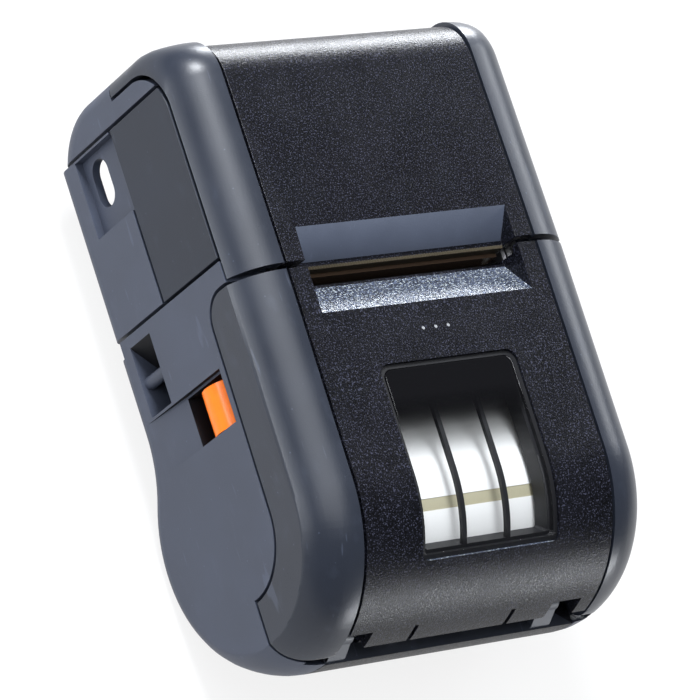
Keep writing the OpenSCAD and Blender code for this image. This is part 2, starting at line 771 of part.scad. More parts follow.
module main_board() {
    z0 = back_z + battery_t + 1.6;
    color([0.05, 0.3, 0.16]) difference() {
        box([-panel_x + 2, gap_y + 3, z0], [panel_x - 2, cap_y - 7, z0 + 1.4]);
        for (x = [-1, 1], y = [gap_y + 6, cap_y - 10]) translate([x * (panel_x - 5), y, 0])
            rod_z(z0 - 1, z0 + 3, 1.3);
    }
    color(dark) box([-18, gap_y + 16, z0 + 1.4], [-4, gap_y + 30, z0 + 2.6]);
    color(dark) box([4, gap_y + 20, z0 + 1.4], [13, gap_y + 32, z0 + 2.2]);
}

module print_head() {
    hw = platen_l / 2 + 1.6;
    color([0.9, 0.88, 0.82]) box([-hw, head_y, platen_z - 7], [hw, head_y + head_t, platen_z + 6]);
}

module head_heatsink() {
    y0 = head_y + head_t;
    hw = platen_l / 2 + 3;
    color(steel) difference() {
        box([-hw, y0, platen_z - 8.4], [hw, y0 + sink_t, platen_z + 6]);
        for (i = [0:4]) translate([-hw - 1, y0 + 2, platen_z - 6.6 + 2.5 * i]) cube([2 * hw + 2, sink_t, 1.2]);
    }
}

module head_springs() {
    y0 = head_y + head_t + sink_t;
    color(steel) for (i = [-1:1]) translate([i * 0.38 * platen_l, bar_y, platen_z + 1]) rotate([90, 0, 0])
        difference() {
            cylinder(h = bar_y - y0, r = 2.6, $fn = 40);
            translate([0, 0, -1]) cylinder(h = 20, r = 1.9, $fn = 40);
        }
}

module tear_bar() {
    half = mouth_w / 2 - 0.7;
    teeth = 76;
    step = 2 * half / teeth;
    z1 = front_z - 4.7;
    tips = [for (i = [0:teeth - 1]) each [[i * step - half, z1 - 0.5], [(i + 0.5) * step - half, z1]]];
    color([0.62, 0.6, 0.55]) along_y(upper_y - tear_t, upper_y)
        polygon(concat([[half, z1 - 3.4], [-half, z1 - 3.4]], tips, [[half, z1 - 0.5]]));
}

module drive_motor() {
    x1 = panel_x - 3.4;
    color(steel) union() {
        rod(x1 - 14, x1, pinion_y, pinion_z, motor_r);
        rod(x1 - 0.1, x1 + 1.6, pinion_y, pinion_z, 3);
        rod(x1, gear_x + gear_w, pinion_y, pinion_z, motor_shaft_r);
    }
}

idler_phase = idler_angle + 180 + 180 / idler_teeth;
pinion_slip = (pinion_angle - idler_phase) * idler_teeth / pinion_teeth;

module platen_gear() {
    color(white) spur(platen_y, platen_z, gear_x, platen_teeth, shaft_r + 0.01, idler_angle);
}

module idler_gear() {
    color(white) spur(idler_y, idler_z, gear_x, idler_teeth, idler_pin_r + running_fit, idler_phase);
}

module motor_pinion() {
    color([0.8, 0.65, 0.3]) spur(pinion_y, pinion_z, gear_x, pinion_teeth, motor_shaft_r + running_fit,
        pinion_angle + 180 + 180 / pinion_teeth + pinion_slip);
}

module platen_shaft() {
    color(steel) rod(-panel_x + 0.6, gear_x + gear_w + 0.4, platen_y, platen_z, shaft_r);
}

module platen_roller() {
    color([0.12, 0.12, 0.13]) difference() {
        rod(-platen_l / 2, platen_l / 2, platen_y, platen_z, platen_r);
        rod(-platen_l / 2 - 1, platen_l / 2 + 1, platen_y, platen_z, shaft_r + 0.01);
    }
}

module platen_bushes() {
    color(white) both_sides() difference() {
        union() {
            rod(bracket_x, bracket_x + bracket_t, platen_y, platen_z, 3.5);
            rod(bracket_x - 0.8, bracket_x, platen_y, platen_z, 4.4);
        }
        rod(bracket_x - 2, bracket_x + bracket_t + 2, platen_y, platen_z, shaft_r + running_fit);
    }
}

module latch_hook() {
    top = platen_z + shaft_r + 0.5;
    crank_x = -panel_x - crank_gap;
    color(steel) union() {
        rod(crank_x - crank_t, panel_x - 0.9, hook_y, hook_z, hook_r);
        for (x = [-panel_x + 3.1, panel_x - 4.3]) along_x(x, x + 1.2) union() {
            translate([hook_y, hook_z]) circle(2.6, $fn = 48);
            polygon([
                [hook_y - 2.2, hook_z], [hook_y + 2.2, hook_z], [platen_y + 8.2, top + 2.4],
                [platen_y - 0.6, top + 2.4], [platen_y - 1.2, top + 0.4], [platen_y - 1.2, top],
                [platen_y + 5, top], [platen_y + 5.6, platen_z - 6]
            ]);
        }
        // Crank that the release lever presses on
        along_x(crank_x - crank_t, crank_x) union() {
            translate([hook_y, hook_z]) circle(2.6, $fn = 48);
            polygon([
                [hook_y, hook_z - 2], [hook_y + hook_arm + 1, hook_z - 1.2],
                [hook_y + hook_arm + 1, hook_z + 1.2], [hook_y, hook_z + 2]
            ]);
        }
    }
}

module release_lever() {
    zc = (lever_z0 + lever_z1) / 2;
    arm_x = -half_w + thumb_t - 0.1;
    thumb_r = 7.2;
    arm_z = hook_z + 1.5;
    color([1, 0.35, 0.02]) union() {
        along_y(lever_y0 + 0.3, lever_y1 - 0.2) union() {
            intersection() {
                translate([-half_w + 0.3 + thumb_r, zc]) circle(thumb_r, $fn = 96);
                translate([-half_w, lever_z0]) square([0.8 * thumb_t, lever_z1 - lever_z0]);
            }
            translate([-half_w + 0.53 * thumb_t, lever_z0])
                square([0.47 * thumb_t, arm_z + 2.4 - lever_z0]);
        }
        // Arm that reaches back to the crank of the latch
        box([arm_x, lever_y0 + 2, arm_z], [arm_x + crank_gap, hook_y + hook_arm + 1, arm_z + 2.8]);
        box([arm_x, hook_y + hook_arm - 1, arm_z], [-panel_x - crank_gap - 0.2, hook_y + hook_arm + 1, arm_z + 2.8]);
    }
}

module cover_panel() {
    color(dark) difference() {
        union() {
            cover_frame() cover_sweep(cover_l, lip_angle + tilt) union() {
                translate([-panel_x + groove_w, 0]) square([panel_w - 2 * groove_w, wall]);
                translate([-panel_x + 0.1, groove_d]) square([panel_w - 0.2, wall - groove_d]);
            }
            // Sloping lower side of the mouth
            cover_frame() along_x(-mouth_w / 2 - 1.8, mouth_w / 2 + 1.8) polygon([
                [lip_u - 1.4, end_r - wall], [lip_u + lip_run + 0.6, end_r - lip_depth - 2.2],
                [lip_u + lip_run + 0.6, end_r - 0.5], [lip_u, end_r - 0.5]
            ]);
            // Brackets that carry the platen
            both_sides() along_x(bracket_x, bracket_x + bracket_t) union() {
                translate([platen_y, platen_z]) circle(4.6, $fn = 64);
                translate([platen_y - 4.6, platen_z]) square([8, platen_depth - wall + 0.4]);
                translate([platen_y - 12, front_z - wall - 3.6]) square([14, 4]);
            }
            for (k = cover_knuckles) knuckle(k, end_r - 1.2, lip_angle + 3, 2.8, end_r - 0.2);
        }
        cover_frame() along_x(-mouth_w / 2, mouth_w / 2) polygon([
            [lip_u, end_r], [lip_u + lip_run, end_r - lip_depth], [cover_l + 1, end_r - lip_depth],
            [cover_l + 1, end_r + 1], [lip_u, end_r + 1]
        ]);
        both_sides() rod(bracket_x - 1, bracket_x + bracket_t + 1, platen_y, platen_z, 3.5 + 0.01);
        both_sides() rod(bracket_x - 2, bracket_x, platen_y, platen_z, 4.6);
        cover_frame() window_room(0, -1, wall + 1);
        cover_frame() for (x = [-4, -0.3, 3.4]) translate([x, cover_l - 18.6, end_r - wall - 1])
            cylinder(h = wall + 2, r = 0.5, $fn = 24);
        rod(-half_w, half_w, hinge_y, hinge_z, hinge_pin_r + running_fit);
        // Cut-outs round the knuckles of the base, and two slits between them
        hinge_cut(base_knuckles[0][0] - 1, base_knuckles[0][1] + 1.6);
        hinge_cut(base_knuckles[1][0] - 0.4, base_knuckles[1][1] + 2.6);
        for (x = [-17.6, 11.3]) hinge_cut(x, x + 1.2);
    }
}

module hinge_cut(x0, x1) {
    box([x0, end_y - end_r - 1, 0], [x1, hinge_y + 4, end_z + end_r * sin(notch_angle)]);
}

// Room of the window, in the cover's frame, between two depths and drawn in by a margin.
module window_room(margin, d0, d1) {
    hw = window_w / 2 - margin;
    up = window_top - margin;
    low = window_angle + margin / end_r * 180 / PI;
    top_r = 3 - margin / 2;
    low_r = 1.8 - margin / 2;
    difference() {
        intersection() {
            cover_sweep(up, low) translate([-hw, d0]) square([2 * hw, d1 - d0]);
            union() {
                box([-hw, -80, -80], [hw, up - top_r, 80]);
                for (s = [-1, 1]) translate([s * (hw - top_r), up - top_r, 0])
                    cylinder(h = 80, r = top_r, $fn = 48);
                box([-hw + top_r, up - top_r - 1, 0], [hw - top_r, up, 80]);
            }
        }
        both_sides() rotate([90 - low, 0, 0]) difference() {
            box([hw - 0.85 * low_r, -1, 20], [hw + 1, 0.85 * low_r, 40]);
            translate([hw - low_r, low_r, 19]) cylinder(h = 22, r = low_r, $fn = 48);
        }
    }
}

module status_lights() {
    color(white) cover_frame() for (x = [-4, -0.3, 3.4]) translate([x, cover_l - 18.6, end_r - wall])
        cylinder(h = wall - 0.2, r = 0.48, $fn = 24);
}

module window_lens() {
    color([0.6, 0.65, 0.7, 0.35]) cover_frame() window_room(rim_w, 0.4, 0.4 + lens_t);
}

module window_frame() {
    seat = 0.45 + lens_t;
    color(dark) cover_frame() difference() {
        union() {
            window_room(0.05, 0.8, wall + 0.1);
            window_room(-1.6, wall + 0.03, frame_depth);
        }
        window_room(rim_w - 0.05, 0.7, seat);
        difference() {
            window_room(rim_w + 0.9, 0.7, frame_depth + 1);
            for (x = [-1, 1]) cover_sweep(window_top + 2, window_angle - 4)
                translate([x * 6.5 - 0.6, seat]) square([1.2, 1.2]);
        }
    }
}

module cover_right_rail() {
    color(grey) difference() {
        cover_frame() cover_sweep(cover_l, 0.5) cover_rail_section();
        cover_frame() along_x(panel_x - 1, half_w + 1) translate([cover_l, end_r - cover_depth])
            difference() {
                translate([-cover_corner_r, -1]) square([cover_corner_r + 1, cover_corner_r + 1]);
                translate([-cover_corner_r, cover_corner_r]) circle(cover_corner_r, $fn = 64);
            }
        along_x(panel_x - 1, half_w + 1) union() {
            cover_end_corner(0);
            translate([end_y - 60, 0]) square([70, cover_foot_z]);
        }
    }
}

module cover_left_rail() {
    mirror([1, 0, 0]) cover_right_rail();
}

module label_core() {
    color([0.7, 0.6, 0.45]) difference() {
        rod(-roll_w / 2, roll_w / 2, end_y, end_z, core_r + core_wall);
        rod(-roll_w, roll_w, end_y, end_z, core_r);
    }
}

module label_roll() {
    color(white) difference() {
        rod(-roll_w / 2, roll_w / 2, end_y, end_z, roll_r);
        rod(-roll_w, roll_w, end_y, end_z, core_r + core_wall);
    }
}

module power_button() {
    color(dark) button_place(1) push_button(power_r);
}

module feed_button() {
    color(dark) button_place(-1) push_button(feed_r);
}

module push_button(r) {
    rod(skin_x - 1.6, half_w, 0, 0, r);
    rod(skin_x - 1.7, skin_x - 0.3, 0, 0, r + 0.9);
}

module port_flap() {
    color(dark) union() {
        box([half_w - 1.6, -8.9, back_z + 9.1], [half_w - 0.2, 13.9, back_z + 23.5]);
        translate([half_w - 0.9, -8.9, flap_z]) rotate([-90, 0, 0])
            cylinder(h = 22.8, r = 0.7, $fn = 32);
        box([half_w - 1.4, -6, back_z + 8.3], [half_w - 0.4, 11, back_z + 9.2]);
    }
}

module usb_socket() {
    color(steel) difference() {
        box([socket_x + 0.6, -5.6, back_z + 12], [half_w - 2.2, 2.2, back_z + 16]);
        box([socket_x + 1.4, -5, back_z + 12.6], [half_w - 1, 1.6, back_z + 15.4]);
    }
}

module power_socket() {
    color(dark) difference() {
        box([socket_x, 4, back_z + 10.6], [half_w - 2.2, 12, back_z + 20]);
        rod(socket_x + 1, half_w, 8, back_z + 15.3, 2.9);
    }
    color(steel) rod(socket_x + 0.5, half_w - 3, 8, back_z + 15.3, 0.8);
}

module screw_places() {
    for (x = [-1, 1], y = [-1]) translate([x * 26, blend_y + 5, 0]) children();
}

module back_screws() {
    color(steel) screw_places() difference() {
        rod_z(back_z + 0.4, back_z + 2.2, 2.3);
        for (a = [0, 90]) rotate(a) translate([-1.3, -0.3, back_z]) cube([2.6, 0.6, 1]);
    }
}

base_shell();
left_side_cover();
right_side_cover();
top_cover();
left_rail();
right_rail();
end_cap();
left_side_panel();
right_side_panel();
left_cheek();
right_cheek();
battery_pack();
battery_latch();
battery_contacts();
main_frame();
main_board();
print_head();
head_heatsink();
head_springs();
tear_bar();
drive_motor();
motor_pinion();
idler_gear();
idler_pin();
platen_gear();
platen_shaft();
platen_roller();
platen_bushes();
release_lever();
latch_hook();
cover_panel();
cover_left_rail();
cover_right_rail();
window_lens();
window_frame();
hinge_pin();
label_core();
label_roll();
status_lights();
power_button();
feed_button();
port_flap();
usb_socket();
power_socket();
back_screws();
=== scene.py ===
"""Dresses a portable label printer: finished shells, window, label roll, release lever, studio."""

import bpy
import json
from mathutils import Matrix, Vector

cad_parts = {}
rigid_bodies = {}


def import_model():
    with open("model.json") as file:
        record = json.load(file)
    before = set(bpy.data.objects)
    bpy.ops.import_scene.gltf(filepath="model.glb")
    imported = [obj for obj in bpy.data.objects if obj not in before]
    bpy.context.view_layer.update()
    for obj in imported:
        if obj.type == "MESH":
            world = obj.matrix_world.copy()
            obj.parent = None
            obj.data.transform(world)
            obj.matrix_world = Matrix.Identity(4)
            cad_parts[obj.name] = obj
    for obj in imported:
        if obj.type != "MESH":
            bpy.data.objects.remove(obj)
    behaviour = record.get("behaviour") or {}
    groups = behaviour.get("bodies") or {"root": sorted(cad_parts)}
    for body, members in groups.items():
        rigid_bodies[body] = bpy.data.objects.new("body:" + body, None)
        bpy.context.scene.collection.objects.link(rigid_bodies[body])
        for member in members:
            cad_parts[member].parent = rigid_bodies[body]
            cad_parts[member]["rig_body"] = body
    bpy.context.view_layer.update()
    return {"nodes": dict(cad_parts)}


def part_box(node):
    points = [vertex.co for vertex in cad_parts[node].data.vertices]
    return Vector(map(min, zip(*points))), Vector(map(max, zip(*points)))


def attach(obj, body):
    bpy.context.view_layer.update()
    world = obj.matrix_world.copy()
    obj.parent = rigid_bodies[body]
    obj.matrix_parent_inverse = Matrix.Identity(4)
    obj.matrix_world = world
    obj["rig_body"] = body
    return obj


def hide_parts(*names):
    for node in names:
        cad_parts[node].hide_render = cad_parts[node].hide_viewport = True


bl_info = {
    "name": "Portable label printer",
    "version": (1, 0, 0),
    "blender": (4, 5, 0),
    "location": "View3D > Sidebar > Printer",
    "description": "Builds the visible pieces and finishes of a portable label printer on its CAD frame",
    "category": "Add Mesh",
}

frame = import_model()

import contextlib
import json
import math

import bmesh
import bpy
from mathutils import Euler, Vector

NODES = frame["nodes"]
BODY_OF = {name: node["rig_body"] for name, node in NODES.items()}
X, Y, Z = Vector((1, 0, 0)), Vector((0, 1, 0)), Vector((0, 0, 1))
FULL_TURN = 360

# The roll and the cover round it, in metres
ROLL_LOW, ROLL_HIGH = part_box("label_roll")
ROLL_CENTRE = (ROLL_LOW + ROLL_HIGH) / 2
ROLL_RADIUS = (ROLL_HIGH.z - ROLL_LOW.z) / 2
LABEL_MARGIN = 0.0008
COVER_TILT = math.radians(1.07)
COVER_OUTSIDE = 0.032

# Where the shells change their finish: ways that faces look, and places in metres.
# The recess and the hollow are each a range along Y and one along Z.
UPPER_SLOPE = Vector((0, -0.63, 0.77))
LIP_SLOPE = Vector((0, 0.64, 0.77))
KNUCKLE_FRONT, KNUCKLE_FOOT = -0.0695, 0.0357
LEVER_RECESS = ((-0.0176, -0.003), (0.031, 0.0502))
STRAP_HOLLOW = ((-0.0033, 0.0157), (0.017, 0.0275))
STRAP_BAR = Vector((-0.0474, 0.0059, 0.0223))
STRAP_BAR_REACH = 0.0018
FLANK_FACE = -0.0496

# The window sheet in metres; the painted shade over its upper end is full and gone at two distances from
# its upper edge
SHEET_RADIUS = 0.0344
SHEET_WALL = 0.0015
SHEET_UPPER_CORNER, SHEET_LOWER_CORNER = 0.0024, 0.0012
PAINTED_SHADE_FULL, PAINTED_SHADE_GONE = 0.007, 0.0155

# Rounded edges of single pieces, in metres
SHEET_EDGE, LEVER_EDGE, CORE_EDGE = 0.0007, 0.0004, 0.0002
LINER_EDGE, LABEL_EDGE = 0.0003, 0.00003

# How finely the mesh tools work, in metres, radians and cosines between a face and a way
CAD_MERGE, SHEET_MERGE, BAND_MERGE = 0.000004, 0.00001, 0.000001
FLUSH_ANGLE = math.radians(0.3)
SHARP_ANGLE = math.radians(40)
CAD_CREASE = math.radians(22)
CREASE = math.radians(32)
SAME_WAY, SAME_SPOKE = 0.97, 0.996

# Stretch of a noise whose lines run along X
ALONG_X = (0.05, 1, 1)

# Camera fitted to the photograph: place in metres, turn in degrees, lens in millimetres
CAMERA_PLACE = (-0.70696, -0.31857, 0.97866)
CAMERA_TURN = (26.6269, -30.2160, -20.4878)
CAMERA_LENS = 257.144

# Lamps: name, place, size and power
LAMPS = (
    ("High softbox", (-0.29, 0.10, 0.93), (0.80, 0.80), 7.0),
    ("Far left softbox", (-0.16, 0.60, 0.80), (0.22, 0.22), 14.0),
    ("Far right softbox", (0.53, 0.78, 0.12), (0.50, 0.24), 14.0),
    ("Right softbox", (0.85, 0.30, 0.42), (0.40, 0.30), 3.0),
    ("Left softbox", (-0.85, 0.10, 0.25), (0.60, 0.40), 2.2),
    ("Left strip", (-0.88, 0.24, 0.13), (0.50, 0.07), 2.0),
    ("Low front softbox", (0.48, -0.82, 0.035), (0.60, 0.065), 5.0),
)
LAMP_AIM = Vector((0, 0, 0.035))
LAMP_COLOUR = (0.93, 0.96, 1.0)
WORLD_COLOUR = (0.95, 0.97, 1.0, 1)
WORLD_STRENGTH = 0.15
FLOOR_SIZE = 6
FLOOR_DROP = 0.0002
FLOOR_GREY = 0.85
FLOOR_WHITENESS = 0.85


# Shader expressions

class Value:
    """A socket that can stand in a Python expression, which adds the Math nodes it needs."""

    def __init__(self, shader, socket):
        self.shader = shader
        self.socket = socket

    def _maths(self, operation, first, second):
        return self.shader.node("ShaderNodeMath", {"operation": operation}, {0: first, 1: second})

    def __add__(self, other):
        return self._maths("ADD", self, other)

    def __radd__(self, other):
        return self._maths("ADD", other, self)

    def __sub__(self, other):
        return self._maths("SUBTRACT", self, other)

    def __rsub__(self, other):
        return self._maths("SUBTRACT", other, self)

    def __mul__(self, other):
        return self._maths("MULTIPLY", self, other)

    def __rmul__(self, other):
        return self._maths("MULTIPLY", other, self)

    def __truediv__(self, other):
        return self._maths("DIVIDE", self, other)

    def __pow__(self, other):
        return self._maths("POWER", self, other)

    def __lt__(self, other):
        return self._maths("LESS_THAN", self, other)


class Shader:
    """A material under construction."""

    def __init__(self, name):
        self.material = bpy.data.materials.new(name)
        self.material.use_nodes = True
        self.tree = self.material.node_tree
        self.tree.nodes.clear()

    def node(self, kind, settings=None, inputs=None, output=0):
        """Adds a node: its settings first, then the values or links of its sockets."""
        made = self.tree.nodes.new(kind)
        for name, setting in (settings or {}).items():
            if name == "stops":
                ramp = made.color_ramp
                while len(ramp.elements) < len(setting):
                    ramp.elements.new(1)
                for element, (stop, grey) in zip(ramp.elements, setting):
                    element.position = stop
                    element.color = (grey, grey, grey, 1)
            else:
                setattr(made, name, setting)
        for key, value in (inputs or {}).items():
            if isinstance(value, Value):
                self.tree.links.new(value.socket, made.inputs[key])
            else:
                made.inputs[key].default_value = value
        return Value(self, made.outputs[output]) if made.outputs else made

    def places(self):
        """Where a point is on the piece, in metres."""
        return self.node("ShaderNodeTexCoord", output="Object")

    def along(self, axis):
        """How far a point is along X, Y or Z, in metres."""
        return self.node("ShaderNodeSeparateXYZ", None, {"Vector": self.places()}, axis)

    def noise(self, size, detail=2, stretch=(1, 1, 1), roughness=0.5):
        """Cloudy noise whose spots are about as wide as size, in metres."""
        where = self.node("ShaderNodeMapping", {"vector_type": "POINT"},
                          {"Vector": self.places(), "Scale": stretch})
        return self.node("ShaderNodeTexNoise", None, {
            "Vector": where, "Scale": 1 / size, "Detail": detail, "Roughness": roughness})

    def cells(self, size, feature="F1"):
        """Distance to the nearest of many scattered points, which are about size apart, in metres."""
        return self.node("ShaderNodeTexVoronoi", {"feature": feature}, {
            "Vector": self.places(), "Scale": 1 / size})

    def ramp(self, value, *stops):
        """Turns a value into a grey by its stops, each a value and its grey."""
        return self.node("ShaderNodeValToRGB", {"stops": stops}, {"Fac": value})

    def tint(self, first, second, factor):
        """Goes from the first colour to the second by a factor."""
        # The colours of this node are its sockets 6 and 7, and its output 2.
        return self.node("ShaderNodeMix", {"data_type": "RGBA"}, {0: factor, 6: first, 7: second}, 2)

    def bump(self, height, depth):
        """Surface relief, its depth in metres."""
        return self.node("ShaderNodeBump", None, {"Height": height, "Distance": depth, "Strength": 1.0})

    def plastic(self, colour, roughness, normal, metallic=0.0, shine=0.5):
        """Ends the material in a Principled shader, whose shine is the strength of its reflections."""
        return self.end(self.node("ShaderNodeBsdfPrincipled", None, {
            "Base Color": colour, "Roughness": roughness, "Normal": normal, "Metallic": metallic,
            "Specular IOR Level": shine}))

    def end(self, surface):
        self.node("ShaderNodeOutputMaterial", None, {"Surface": surface})
        return self.material


def shade(colour, level=1.0):
    """A colour as four numbers, made lighter or darker."""
    return tuple(min(1.0, part * level) for part in colour[:3]) + (1.0,)


# Finishes

def textured_plastic(name, colour, grain, depth, rough, painted_glint=1.0, shine=0.5):
    """Moulded plastic with the coarse spark texture of a hard-wearing case, with painted glints: raised
    grains painted lighter and scattered specks far lighter.
    """
    look = Shader(name)
    grit = look.noise(grain, detail=1, roughness=0.7)
    dust = look.noise(grain * 0.45, detail=0)
    patches = look.ramp(look.noise(0.012), (0.35, 0.0), (0.65, 1.0))
    crests_painted_lighter = look.ramp(grit, (0.47, 0.0), (0.66, 1.0))
    painted_glints = look.ramp(look.noise(grain * 0.8, detail=0), (0.62, 0.0), (0.72, 1.0))
    # Raised grains are painted lighter, partly their own tone and partly painted highlight.
    tone = look.tint(shade(colour, 0.4), shade(colour, 3.0), crests_painted_lighter * 0.8 + patches * 0.1)
    # Scattered specks painted up to 18 times lighter are painted glints.
    tone = look.tint(tone, shade(colour, 18), painted_glints * (0.6 * painted_glint))
    relief = look.bump(grit + dust * 0.5, depth)
    return look.plastic(tone, rough - crests_painted_lighter * 0.1 + patches * 0.04, relief, shine=shine)


def satin_plastic(name, colour, rough, marked=1.0, shine=0.5):
    """Smooth grey plastic with a fine haze, faint rubs and a few pale specks."""
    look = Shader(name)
    haze = look.noise(0.00035, detail=1)
    clouds = look.ramp(look.noise(0.014, detail=3), (0.35, 0.0), (0.68, 1.0))
    specks = look.ramp(look.cells(0.0036), (0.035, 1.0), (0.07, 0.0))
    rubs = look.ramp(look.noise(0.0009, detail=1, stretch=(1, 0.07, 0.35)), (0.72, 0.0), (0.77, 1.0))
    smears = look.ramp(look.noise(0.004, detail=4, stretch=(1, 0.5, 1)), (0.6, 0.0), (0.8, 1.0))
    marks = (specks * 0.5 + rubs * 0.3 + smears * 0.14) * marked
    tone = look.tint(shade(colour, 0.88), shade(colour, 1.1), clouds * 0.6 + haze * 0.4)
    tone = look.tint(tone, shade(colour, 4.0), marks)
    roughness = rough + haze * 0.1 + clouds * 0.05 + marks * 0.1
    return look.plastic(tone, roughness, look.bump(haze, 0.000015), shine=shine)


def brushed_metal(name, colour, rough, stretch=ALONG_X):
    """Bright metal drawn along one direction."""
    look = Shader(name)
    lines = look.noise(0.0004, detail=3, stretch=stretch)
    tone = look.tint(shade(colour, 0.85), shade(colour, 1.05), lines)
    return look.plastic(tone, rough + lines * 0.15, look.bump(lines, 0.00001), metallic=1.0)


def soft_rubber(name, colour):
    """Matt ground rubber."""
    look = Shader(name)
    grain = look.noise(0.00025, detail=3)
    tone = look.tint(shade(colour, 0.8), shade(colour, 1.4), grain)
    return look.plastic(tone, 0.72 + grain * 0.1, look.bump(grain, 0.00003))


def coated_paper(name, colour):
    """Smooth label paper with a little fibre."""
    look = Shader(name)
    fibre = look.noise(0.0005, detail=4, stretch=(0.3, 1, 1))
    tone = look.tint(shade(colour, 0.94), shade(colour, 1.0), fibre)
    return look.plastic(tone, 0.38 + fibre * 0.1, look.bump(fibre, 0.000008))


def rolled_paper(name, liner, paper):
    """Liner on the rolled face, and wound layers of liner and labels on the ends."""
    look = Shader(name)
    across, up = look.along("Y") - ROLL_CENTRE.y, look.along("Z") - ROLL_CENTRE.z
    radius = (across * across + up * up) ** 0.5
    layers = look.node("ShaderNodeTexNoise", {"noise_dimensions": "1D"}, {
        "W": radius, "Scale": 1 / 0.0004, "Detail": 2})
    edges = look.ramp(layers, (0.42, 0.0), (0.58, 1.0))
    on_end = radius < ROLL_RADIUS - 0.0008
    fibre = look.noise(0.0006, detail=4)
    face = look.tint(shade(liner, 0.92), shade(liner, 1.05), fibre)
    wound = look.tint(shade(liner, 0.75), shade(paper, 0.9), edges * 0.75 + 0.15)
    tone = look.tint(face, wound, on_end)
    return look.plastic(tone, 0.5 + fibre * 0.1, look.bump(edges * on_end, 0.00003))


def plain_plastic(name, colour, rough, shine=0.5):
    """Small moulded piece with a slight flow pattern."""
    look = Shader(name)
    flow = look.noise(0.0016, detail=3)
    tone = look.tint(shade(colour, 0.9), shade(colour, 1.1), flow)
    return look.plastic(tone, rough + flow * 0.08, look.bump(flow, 0.00001), shine=shine)


def clear_plastic(name, tone, dark_from, clear_from):
    """Clear moulded sheet with its gloss, darkened towards its upper end between two places along Y by
    painted shade.
    """
    look = Shader(name)
    dust = look.ramp(look.cells(0.0035), (0.02, 1.0), (0.04, 0.0))
    # Painted shade: a dark band over the sheet's upper end stands in for the shade that falls on the roll
    # beneath it.
    painted_shade = look.ramp((look.along("Y") - clear_from) / (dark_from - clear_from), (0.0, 0.0), (1.0, 0.86))
    gloss = look.node("ShaderNodeBsdfPrincipled", None, {
        "Base Color": (0.004, 0.004, 0.005, 1), "Roughness": 0.05, "Specular IOR Level": 0.4})
    clear = look.node("ShaderNodeBsdfTransparent", None, {"Color": shade(tone)})
    # The view angle alone, because a Fresnel node would make the inner side a mirror at a slant.
    slant = look.node("ShaderNodeLayerWeight", None, {"Blend": 0.5}, "Facing")
    film = slant ** 5 + 0.015 + dust * 0.12 + painted_shade
    return look.end(look.node("ShaderNodeMixShader", None, {0: film, 1: clear, 2: gloss}))


def circuit_green(name, colour):
    """Solder mask with faint tracks under it."""
    look = Shader(name)
    tracks = look.ramp(look.cells(0.004, "DISTANCE_TO_EDGE"), (0.03, 1.0), (0.06, 0.0))
    tone = look.tint(shade(colour), shade(colour, 1.8), tracks)
    return look.plastic(tone, 0.35 + tracks * 0.1, look.bump(tracks, 0.00003))


# Mesh tools

def only(piece):
    """Selects one object and nothing else."""
    bpy.ops.object.select_all(action="DESELECT")
    piece.select_set(True)
    bpy.context.view_layer.objects.active = piece


def named(piece, name):
    piece.name = piece.data.name = name
    return piece


def settle(piece):
    """Puts a piece's place, turn and size into its mesh."""
    only(piece)
    bpy.ops.object.transform_apply(location=True, rotation=True, scale=True)


@contextlib.contextmanager
def editing(piece, kind="FACE"):
    """Edit mode on one piece, giving its editable mesh with nothing selected."""
    only(piece)
    bpy.ops.object.mode_set(mode="EDIT")
    bpy.ops.mesh.select_mode(type=kind)
    bpy.ops.mesh.select_all(action="DESELECT")
    yield bmesh.from_edit_mesh(piece.data)
    bpy.ops.object.mode_set(mode="OBJECT")


def pick(parts, test):
    """Selects the vertices, edges or faces that pass a test, and nothing else."""
    bpy.ops.mesh.select_all(action="DESELECT")
    chosen = [part for part in parts if test(part)]
    if not chosen:
        raise RuntimeError("nothing to select on " + bpy.context.object.name)
    for part in chosen:
        part.select_set(True)
    bmesh.update_edit_mesh(bpy.context.object.data)


def soften(piece, edge, crease=CREASE):
    """Rounds the sharp edges of a piece to a width, unless that is 0, and smooths its shading."""
    only(piece)
    if edge:
        rounding = piece.modifiers.new("Soft edges", "BEVEL")
        rounding.width = edge
        rounding.segments = 2
        rounding.limit_method = "ANGLE"
        rounding.angle_limit = SHARP_ANGLE
        bpy.ops.object.modifier_apply(modifier=rounding.name)
    bpy.ops.object.shade_smooth_by_angle(angle=crease)
    even = piece.modifiers.new("Even shading", "WEIGHTED_NORMAL")
    even.keep_sharp = True
    bpy.ops.object.modifier_apply(modifier=even.name)


def place(piece, node, material):
    """Rides a finished piece on the body of the node that it stands for."""
    piece.data.materials.clear()
    piece.data.materials.append(material)
    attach(piece, BODY_OF[node])
    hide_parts(node)
    return piece


def paint(node, material):
    """Gives a CAD node that keeps its own mesh its finish."""
    NODES[node].data.materials.clear()
    NODES[node].data.materials.append(material)


def softened(node, material, edge=0.0):
    """A copy of a CAD node with its points merged, its flat faces cleaned and its edges softened."""
    piece = bpy.data.objects.new(node + "_finished", NODES[node].data.copy())
    bpy.context.scene.collection.objects.link(piece)
    with editing(piece):
        bpy.ops.mesh.select_all(action="SELECT")
        bpy.ops.mesh.remove_doubles(threshold=CAD_MERGE)
        bpy.ops.mesh.dissolve_limited(angle_limit=FLUSH_ANGLE)
        bpy.ops.mesh.normals_make_consistent(inside=False)
    soften(piece, edge, CAD_CREASE)
    return place(piece, node, material)


